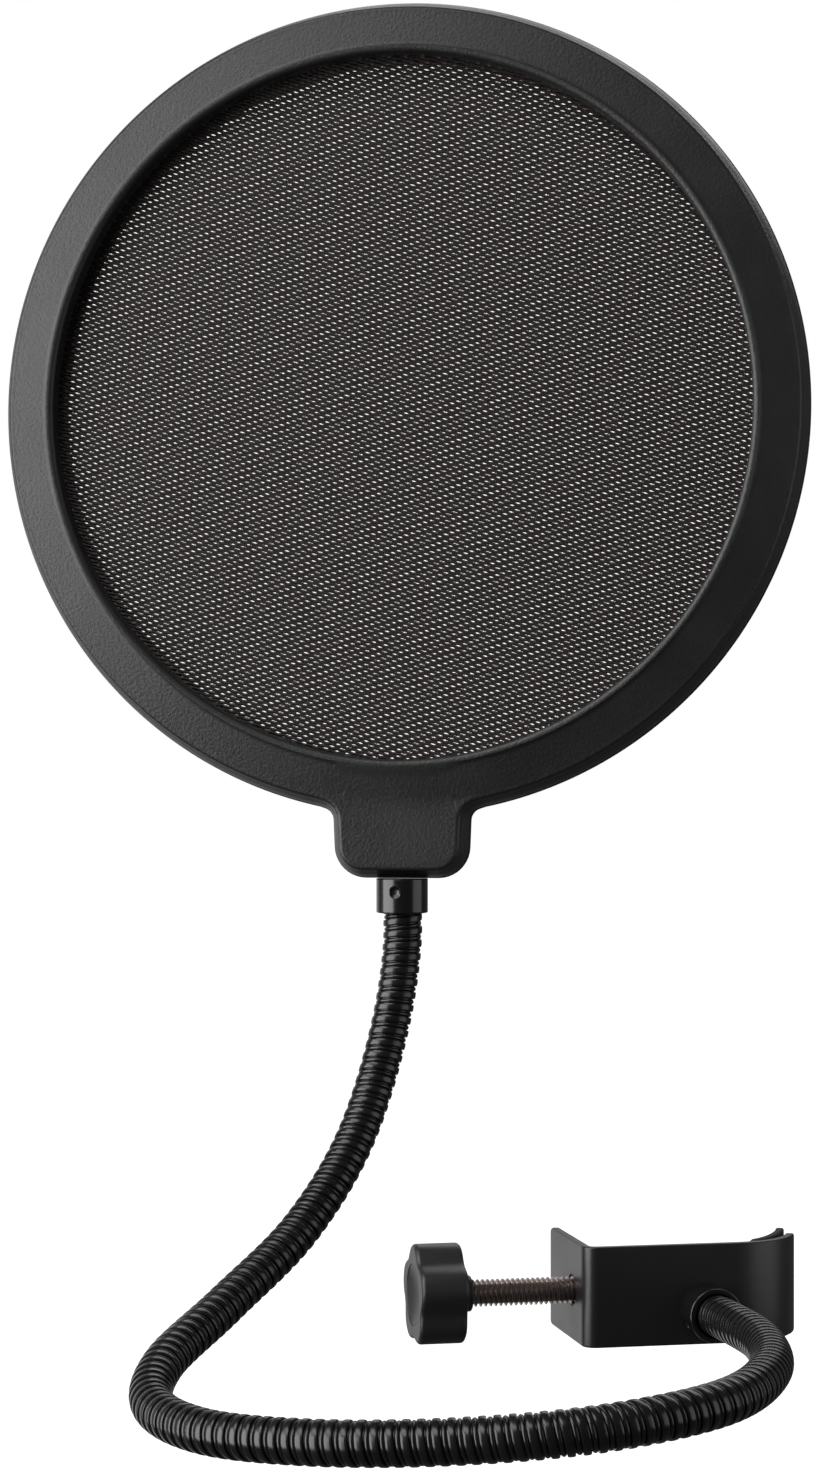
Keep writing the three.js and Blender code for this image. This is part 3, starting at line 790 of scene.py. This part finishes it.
# ---------------------------------------------------------------- clamp bracket
def eased(distance, radius):
    """How far a rounded end of that radius has drawn in, at a distance from the end."""
    left = np.clip(radius - distance, 0, radius)
    return radius - math.sqrt(radius ** 2 - left ** 2)


def strip_rows(stations, thick, half, edge_r, start_r, corner_r):
    """A flat strip bent along stations of (x, y, outward x, outward y), its ends rounded off.

    half is half the strip's height, one number or one for each station.
    """
    path = np.array(stations)
    run = np.concatenate([[0], np.cumsum(np.linalg.norm(np.diff(path[:, :2], axis=0), axis=1))])
    rows = []
    for (x, y, nx, ny), s, high in zip(path, run, np.broadcast_to(half, len(path))):
        edge = max(eased(s, edge_r), eased(run[-1] - s, edge_r)) * END_DRAWN_IN
        tall = high - edge - eased(run[-1] - s, corner_r) - eased(s, start_r)
        r = max(edge_r - edge, LEAST_CORNER_R)
        section = [(edge, -tall, r), (thick - edge, -tall, r), (thick - edge, tall, r), (edge, tall, r)]
        loop = rounded(section, closed=True, steps=4)
        rows.append([(x + nx * n, y + ny * n, z) for n, z in loop])
    return np.array(rows)


def end_steps(length, near):
    """Distances from a stretch's free end along it, close together over the first near millimetres."""
    close = near * (1 - np.cos(np.linspace(0, math.pi / 2, 9)))
    even = np.arange(near + STATION_STEP / 2, length - 0.3, STATION_STEP)
    return np.concatenate([close, even, [length]])


def bracket_stations():
    """The inner surface's path from the flange's free end round the corner, along the web and the hook."""
    inner_x = FLANGE_X + STRIP_THICK
    inner_r = CORNER_OUTER_R - STRIP_THICK
    flange_run = end_steps(FLANGE_END_Y - inner_r, FLANGE_CORNER_R)
    stations = [(inner_x, FLANGE_END_Y - d, -1.0, 0.0) for d in flange_run]
    for turn in np.linspace(0, math.pi / 2, 10)[1:]:
        nx, ny = -math.cos(turn), -math.sin(turn)
        stations.append((inner_x + inner_r + inner_r * nx, inner_r + inner_r * ny, nx, ny))
    start = inner_x + inner_r
    stations += [(x, 0.0, 0.0, -1.0) for x in np.linspace(start, HOOK_START_X, 19)[1:]]
    stations += hook_stations(0.0, HOOK_OUTER_R - STRIP_THICK, HOOK_CORNER_R)
    return stations


def hook_stations(from_turn, radius, near):
    """Stations round the hook, on a radius about the hook's centre, closer together near its end."""
    centre_y = HOOK_OUTER_R - STRIP_THICK
    length = (HOOK_SWEEP - from_turn) * radius
    turns = HOOK_SWEEP - end_steps(length, near)[::-1] / radius
    return [(HOOK_START_X + radius * math.sin(t), centre_y - radius * math.cos(t), math.sin(t), -math.cos(t))
            for t in turns[1:]]


def build_bracket():
    """The bent strip, with the collar that the screw runs in and the hole through both."""
    rows = strip_rows(bracket_stations(), STRIP_THICK, STRIP_HALF,
                      STRIP_EDGE_R, FLANGE_CORNER_R, HOOK_CORNER_R)
    bracket = make("bent_bracket", [grid(rows)], satin_metal)
    inner_x = FLANGE_X + STRIP_THICK
    collar_end = inner_x + COLLAR_LENGTH
    sunk = inner_x - STRIP_THICK / 2
    corners = [(0, sunk, 0), (COLLAR_R, sunk, 0), (COLLAR_R, collar_end, 0.4), (0, collar_end, 0)]
    collar = grid(lay_along(turned(rounded(corners), 64), "x", (0, SCREW_Y, 0)))
    carve(bracket, make("collar", [collar], satin_metal), "UNION")
    bevel = 0.35
    wide = HOLE_R + bevel + CUT_PAST
    near, far = FLANGE_X - CUT_PAST, collar_end + CUT_PAST
    hole = [(0, near), (wide, near), (HOLE_R, FLANGE_X + bevel)]
    hole += [(HOLE_R, collar_end - bevel), (wide, far), (0, far)]
    tool = grid(lay_along(turned(hole, 64), "x", (0, SCREW_Y, 0)))
    carve(bracket, make("screw_hole", [tool], satin_metal))
    fit(bracket, "clamp", "clamp_bracket")


def build_jaw_pad():
    """The rubber liner inside the hook, a little taller towards its free end."""
    radius = HOOK_OUTER_R - STRIP_THICK - GAP - JAW_PAD_THICK
    stations = hook_stations(JAW_PAD_START, radius, 1.0)
    rise = np.clip(np.linspace(0, 2, len(stations)), 0, 1)
    half = STRIP_HALF + (JAW_PAD_HALF - STRIP_HALF) * rise * rise * (3 - 2 * rise)
    rows = strip_rows(stations, JAW_PAD_THICK, half, JAW_PAD_EDGE_R, JAW_PAD_EDGE_R, JAW_PAD_CORNER_R)
    pad = make("jaw_liner", [grid(rows)], rubber)
    fit(pad, "clamp", "jaw_pad")


def build_base_screw():
    """The cross-head screw that holds the base socket, inside the clamp's throat."""
    radius = BASE_SCREW_R
    high = BASE_SCREW_HIGH
    top = GAP + high
    corners = [(0, GAP, 0), (radius, GAP, 0.1), (radius, GAP + high * 0.55, 0.5)]
    corners += [(radius * 0.55, top, 0.6), (0, top, 0)]
    head = grid(lay_along(turned(rounded(corners), 64), "y", (SOCKET_X, 0, SOCKET_Z)))
    screw = make("base_cross_screw", [head], zinc_steel)
    for long_half, wide_half in ((CROSS_LONG, CROSS_HALF), (CROSS_HALF, CROSS_LONG)):
        tool = grid(slot_tool((SOCKET_X, SOCKET_Z), long_half, wide_half, CROSS_DEEP, top))
        carve(screw, make("cross", [tool], zinc_steel))
    fit(screw, "clamp", "base_screw")


# ---------------------------------------------------------------- screw, knob and pressure pad
def build_screw():
    """The clamping screw, with a real helical thread; its profile's places are shares of one pitch."""
    profile = [(0.0, SCREW_ROOT_R), (0.12, SCREW_ROOT_R), (0.42, SCREW_R)]
    profile += [(0.58, SCREW_R), (0.88, SCREW_ROOT_R)]
    places = np.array([SCREW_START_X, SCREW_END_X])
    line = np.array([[x, SCREW_Y, 0] for x in places], float)
    across = np.array([[0, 0, 1.0]] * 2)
    up = np.array([[0, -1.0, 0]] * 2)
    rows = helical(places, line, across, up, SCREW_START_X, SCREW_END_X, SCREW_PITCH, profile, 48)
    screw = make("threaded_rod", [grid(rows, wrap_columns=False)], screw_steel)
    fit(screw, "screw", "clamp_screw")


def knob_radius(angle):
    """The knob's radius round its axis: broad lobes with narrow valleys between them."""
    valley = np.abs(np.sin(KNOB_LOBES * angle / 2)) ** 3
    return KNOB_R - KNOB_LOBE_DEEP * valley


def build_knob():
    """Five rounded lobes, a dished face with a soft rim, and a hub behind."""
    angle = circle(240)
    lobed = knob_radius(angle)
    rows = []

    def row(radius, x):
        radius = np.broadcast_to(radius, angle.shape)
        y, z = SCREW_Y + radius * np.sin(angle), radius * np.cos(angle)
        rows.append(np.stack([np.full(len(angle), x), y, z], -1))

    for share in np.linspace(0, 0.96, 9):
        row(DISH_R * share, KNOB_FRONT_X + DISH_DEEP * (1 - share ** 2))
    rim = DISH_RIM_R
    for turn in np.linspace(150, 90, 5) * DEGREE:
        row(DISH_R + rim + rim * math.cos(turn), KNOB_FRONT_X + rim - rim * math.sin(turn))
    edge = lobed - KNOB_EDGE_R
    for share in np.linspace(0.2, 0.95, 5):
        row(DISH_R + rim + (edge - DISH_R - rim) * share, KNOB_FRONT_X)
    for turn in np.linspace(90, 0, 7) * DEGREE:
        row(edge + KNOB_EDGE_R * math.cos(turn), KNOB_FRONT_X + KNOB_EDGE_R * (1 - math.sin(turn)))
    row(lobed, (KNOB_FRONT_X + KNOB_BACK_X) / 2)
    for turn in np.linspace(0, 90, 7) * DEGREE:
        row(edge + KNOB_EDGE_R * math.cos(turn), KNOB_BACK_X - KNOB_EDGE_R * (1 - math.sin(turn)))
    row((edge + HUB_R) / 2, KNOB_BACK_X)
    hub = rounded([(HUB_R + 1.5, KNOB_BACK_X, 0), (HUB_R, KNOB_BACK_X, 0.3), (HUB_R, HUB_BACK_X, 0.3),
                   (HOLE_R, HUB_BACK_X, 0.1), (HOLE_R, HUB_BACK_X - KNOB_BORE_DEEP, 0),
                   (0, HUB_BACK_X - KNOB_BORE_DEEP, 0)])
    for radius, x in hub:
        row(radius, x)
    fit(make("lobed_knob", [grid(rows)], knob_plastic), "screw", "knob")


def build_pressure_pad():
    """The screw's ball tip, the cup that swivels on it, and the cup's rubber face with a ring groove."""
    stem = [(0, SCREW_END_X + GAP), (BALL_NECK_R, SCREW_END_X + GAP)]
    meet = math.asin(BALL_NECK_R / BALL_R)
    ball = [(BALL_R * math.sin(t), BALL_X - BALL_R * math.cos(t)) for t in np.linspace(meet, math.pi, 16)]
    tip = grid(lay_along(turned(stem + ball, 40), "x", (0, SCREW_Y, 0)))
    fit(make("ball_tip", [tip], screw_steel), "ball_tip", "screw_ball_tip")
    mouth_r = BALL_NECK_R + 2 * GAP
    socket_r = BALL_R + GAP
    meet = math.asin(mouth_r / socket_r)
    turns = np.linspace(math.pi, meet, 14)
    inside = [(socket_r * math.sin(t), BALL_X - socket_r * math.cos(t)) for t in turns]
    outside = rounded([(mouth_r, CUP_BACK_X, 0), (CUP_R - 0.6, CUP_BACK_X, 0.5),
                       (CUP_R, CUP_BACK_X + 1.4, 0.4), (CUP_R, CUP_FRONT_X, 0.3), (0, CUP_FRONT_X, 0)])
    cup = grid(lay_along(turned(inside + [tuple(p) for p in outside], 72), "x", (0, SCREW_Y, 0)))
    fit(make("pad_cup", [cup], inner_plastic), "pad", "pressure_pad_cup")
    back = CUP_FRONT_X + GAP
    groove_r = 3.5
    groove_deep = 0.3
    face = rounded([(0, back, 0), (PAD_RUBBER_R, back, 0.2), (PAD_RUBBER_R, PAD_FACE_X, 0.4),
                    (groove_r + 0.4, PAD_FACE_X, 0.1), (groove_r + 0.2, PAD_FACE_X - groove_deep, 0.1),
                    (groove_r - 0.2, PAD_FACE_X - groove_deep, 0.1), (groove_r - 0.4, PAD_FACE_X, 0.1),
                    (0, PAD_FACE_X, 0)], steps=4)
    disc = grid(lay_along(turned(face, 72), "x", (0, SCREW_Y, 0)))
    fit(make("pad_rubber", [disc], rubber), "pad", "pressure_pad_rubber")


# ---------------------------------------------------------------- camera, light and floor
# these places and the floor's radius are in metres, as Blender has them
PHOTO_AZIMUTH = -11.5 * DEGREE
CAMERA_PLACE = (-0.1637, -0.5708, 0.1021)
LENS_MM = 78.9
SENSOR_MM = 36
LIGHT_TARGET = (-0.03, 0.0, 0.10)
FLOOR_PLACE = (0, 0, -0.13)
FLOOR_R = 9


def build_camera():
    """A level camera in front of the object, turned to the photograph's angle."""
    data = bpy.data.cameras.new("camera")
    data.lens = LENS_MM
    data.sensor_width = SENSOR_MM
    camera = bpy.data.objects.new("camera", data)
    bpy.context.scene.collection.objects.link(camera)
    ahead = Vector((-math.sin(PHOTO_AZIMUTH), math.cos(PHOTO_AZIMUTH), 0))
    camera.location = CAMERA_PLACE
    camera.rotation_euler = ahead.to_track_quat("-Z", "Y").to_euler()
    bpy.context.scene.camera = camera


def area_light(name, azimuth, elevation, distance, size, power):
    """A soft light round the object; azimuth 0 is behind the camera and 90 on its right."""
    a = azimuth * DEGREE + PHOTO_AZIMUTH
    e = elevation * DEGREE
    back = Vector((math.sin(a) * math.cos(e), -math.cos(a) * math.cos(e), math.sin(e)))
    data = bpy.data.lights.new(name, "AREA")
    data.shape = "RECTANGLE"
    data.size, data.size_y = size
    data.energy = power
    light = bpy.data.objects.new(name, data)
    light.location = Vector(LIGHT_TARGET) + back * distance
    light.rotation_euler = back.to_track_quat("Z", "Y").to_euler()
    bpy.context.scene.collection.objects.link(light)


# how bright the studio is, from its dark front (-1) to its pale back wall (1), and where that wall is
WORLD_TONES = [(-0.8, 0.055), (0.0, 0.08), (0.78, 0.10), (0.92, 0.6), (0.98, 0.85)]
PALE_WALL = (-0.2, 0.97, -0.1)


def build_world():
    """A white background; what the object reflects is a dark room with a pale wall at its back."""
    world = bpy.data.worlds.new("studio")
    bpy.context.scene.world = world
    world.use_nodes = True
    tree = world.node_tree
    tree.nodes.clear()
    output = tree.nodes.new("ShaderNodeOutputWorld")
    mix = tree.nodes.new("ShaderNodeMixShader")
    seen = tree.nodes.new("ShaderNodeBackground")
    seen.inputs["Color"].default_value = (1, 1, 1, 1)
    lit = tree.nodes.new("ShaderNodeBackground")
    coordinates = tree.nodes.new("ShaderNodeTexCoord")
    facing = tree.nodes.new("ShaderNodeVectorMath")
    facing.operation = "DOT_PRODUCT"
    facing.inputs[1].default_value = PALE_WALL
    height = tree.nodes.new("ShaderNodeMapRange")
    height.inputs["From Min"].default_value = -1
    ramp = tree.nodes.new("ShaderNodeValToRGB")
    ends = ramp.color_ramp.elements
    while len(ends) < len(WORLD_TONES):
        ends.new(0.5)
    for end, (place, tone) in zip(ends, WORLD_TONES):
        end.position = (place + 1) / 2
        end.color = (*grey(tone), 1)
    rays = tree.nodes.new("ShaderNodeLightPath")
    link = tree.links.new
    link(coordinates.outputs["Generated"], facing.inputs[0])
    link(facing.outputs["Value"], height.inputs["Value"])
    link(height.outputs["Result"], ramp.inputs["Fac"])
    link(ramp.outputs["Color"], lit.inputs["Color"])
    link(rays.outputs["Is Camera Ray"], mix.inputs["Fac"])
    link(lit.outputs["Background"], mix.inputs[1])
    link(seen.outputs["Background"], mix.inputs[2])
    link(mix.outputs["Shader"], output.inputs["Surface"])


def build_floor():
    """A plain pale floor well below the object, as bright as the background and clear from beneath."""
    bpy.ops.mesh.primitive_circle_add(vertices=96, radius=FLOOR_R, fill_type="NGON", location=FLOOR_PLACE)
    floor = bpy.context.object
    floor.name = "floor"
    material = bpy.data.materials.new("pale_floor")
    material.use_nodes = True
    shader = material.node_tree.nodes["Principled BSDF"]
    shader.inputs["Base Color"].default_value = (0.3, 0.3, 0.3, 1)
    shader.inputs["Roughness"].default_value = 0.9
    shader.inputs["Specular IOR Level"].default_value = 0.0
    shader.inputs["Emission Color"].default_value = (1, 1, 1, 1)
    shader.inputs["Emission Strength"].default_value = 1.0
    tree = material.node_tree
    clear = tree.nodes.new("ShaderNodeBsdfTransparent")
    side = tree.nodes.new("ShaderNodeNewGeometry")
    mix = tree.nodes.new("ShaderNodeMixShader")
    tree.links.new(side.outputs["Backfacing"], mix.inputs["Fac"])
    tree.links.new(shader.outputs["BSDF"], mix.inputs[1])
    tree.links.new(clear.outputs["BSDF"], mix.inputs[2])
    tree.links.new(mix.outputs["Shader"], tree.nodes["Material Output"].inputs["Surface"])
    floor.data.materials.append(material)
    floor.visible_diffuse = False
    floor.visible_glossy = False


def build_lights():
    """Large soft lights: the main one on the left, weaker ones above it, on the right and behind."""
    area_light("left_softbox", azimuth=-68, elevation=6, distance=1.3, size=(1.3, 1.4), power=29)
    area_light("top_softbox", azimuth=-52, elevation=54, distance=1.2, size=(1.0, 0.6), power=7)
    area_light("right_softbox", azimuth=74, elevation=5, distance=1.3, size=(1.1, 1.1), power=4)
    area_light("back_softbox", azimuth=165, elevation=40, distance=1.5, size=(1.2, 1.0), power=6)


build_camera()
build_world()
build_floor()
build_lights()
build_screen()
build_ferrules()
build_neck()
build_bracket()
build_jaw_pad()
build_base_screw()
build_screw()
build_knob()
build_pressure_pad()

bpy.context.scene.view_settings.view_transform = "Standard"
